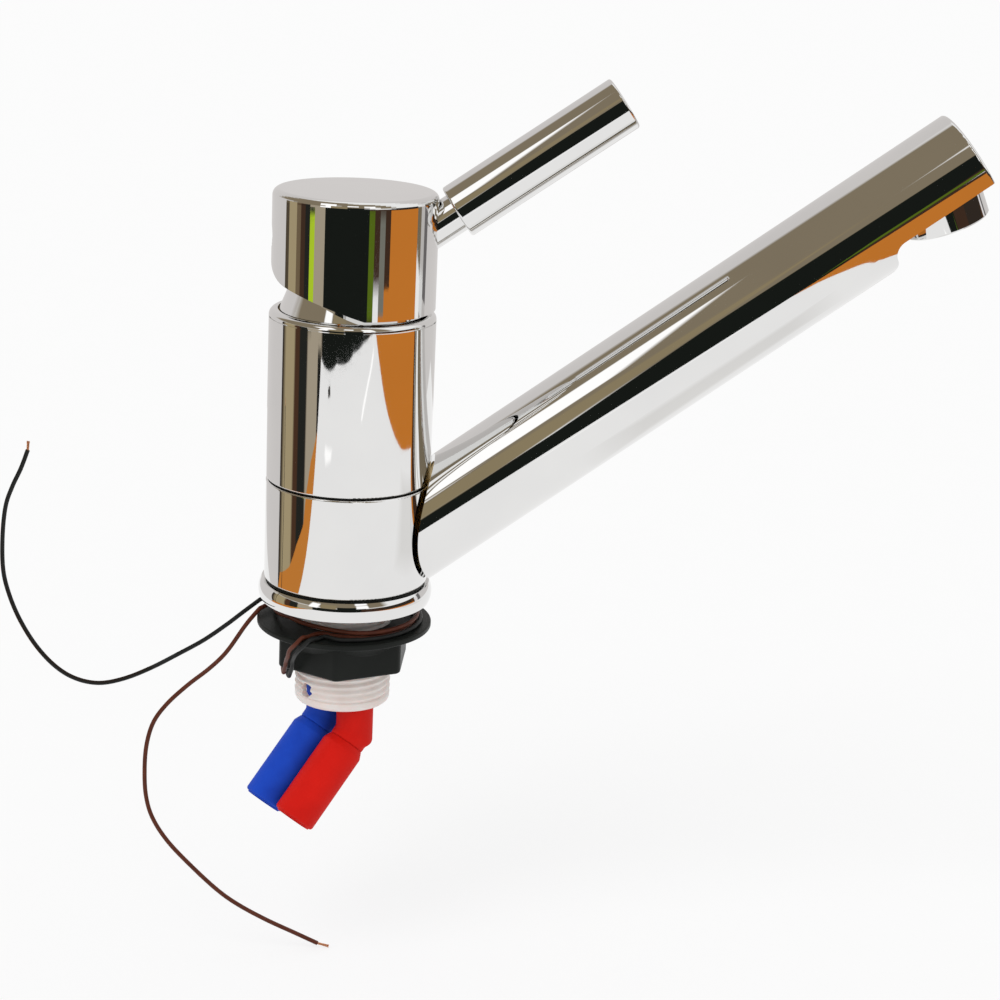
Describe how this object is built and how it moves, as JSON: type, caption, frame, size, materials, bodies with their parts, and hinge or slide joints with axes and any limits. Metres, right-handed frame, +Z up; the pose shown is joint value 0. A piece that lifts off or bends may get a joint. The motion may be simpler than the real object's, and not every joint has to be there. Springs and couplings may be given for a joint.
{
  "type": "single lever mixer tap",
  "caption": "Single lever mixer tap with a straight sloping swivel spout, a lever that lifts and turns, a threaded shank with a flanged nut, coloured push-in supplies and switch leads.",
  "frame": {"origin": "centre of the base ring's underside, where the tap stands on its deck", "axes": "+Z up along the body's axis, +X along the spout and the lever at rest"},
  "size_m": [0.2832, 0.0516, 0.268],
  "materials": {
    "chromed_brass": "polished",
    "brass": "machined",
    "steel": "plain",
    "copper": "drawn copper",
    "black_rubber": "moulded",
    "black_plastic": "satin moulded",
    "white_plastic": "translucent moulded",
    "red_plastic": "satin moulded",
    "blue_plastic": "satin moulded",
    "ceramic": "lapped",
    "grey_plastic": "moulded",
    "brown_insulation": "extruded",
    "black_insulation": "extruded",
    "bare_copper": "stranded, twisted"
  },
  "bodies": {
    "body": {"base_ring": "chromed_brass", "base_gasket": "black_rubber", "core": "brass", "lower_slip_ring": "black_plastic", "upper_slip_ring": "black_plastic", "upper_sleeve": "chromed_brass", "lower_seal": "black_rubber", "upper_seal": "black_rubber", "bonnet": "chromed_brass", "cartridge_base": "black_plastic", "cartridge_housing": "grey_plastic", "fixed_disc": "ceramic", "clamp_nut": "brass", "switch_capsule": "black_plastic", "shank": "white_plastic", "flanged_nut": "black_plastic", "hot_tail": "copper", "cold_tail": "copper", "hot_elbow": "red_plastic", "cold_elbow": "blue_plastic", "hot_sleeve": "red_plastic", "cold_sleeve": "blue_plastic", "brown_wrap": "brown_insulation", "black_wrap": "black_insulation", "brown_lead": "brown_insulation", "black_lead": "black_insulation", "brown_tip": "bare_copper", "black_tip": "bare_copper"},
    "spout": {"swivel_collar": "chromed_brass", "spout_root": "brass", "spout_tube": "chromed_brass", "aerator_ring": "chromed_brass", "aerator_insert": "grey_plastic", "aerator_seal": "black_rubber"},
    "rotor": {"rotor": "grey_plastic", "pivot_pin": "steel"},
    "lever": {"stem": "brass", "lever_cap": "chromed_brass", "lever_rod": "chromed_brass", "lever_grip": "chromed_brass", "grub_screw": "steel", "indicator_plug": "red_plastic"},
    "valve": {"moving_disc": "ceramic", "disc_carrier": "black_plastic"}
  },
  "joints": [
    {"name": "spout_swivel", "type": "hinge", "parent": "body", "child": "spout", "pos_m": [0, 0, 0.0212], "axis": [0, 0, 1], "continuous": true},
    {"name": "lever_turn", "type": "hinge", "parent": "body", "child": "rotor", "pos_m": [0, 0, 0.0755], "axis": [0, 0, 1], "range_deg": [-50, 50]},
    {"name": "lever_lift", "type": "hinge", "parent": "rotor", "child": "lever", "pos_m": [0, 0, 0.084], "axis": [0, -1, 0], "range_deg": [0, 20]},
    {"name": "disc_slide", "type": "slide", "parent": "rotor", "child": "valve", "axis": [1, 0, 0], "range_m": [0, 0.00454]}
  ],
  "couplings": [
    {"joint": "disc_slide", "follows": "lever_lift", "m_per_rad": 0.013}
  ]
}
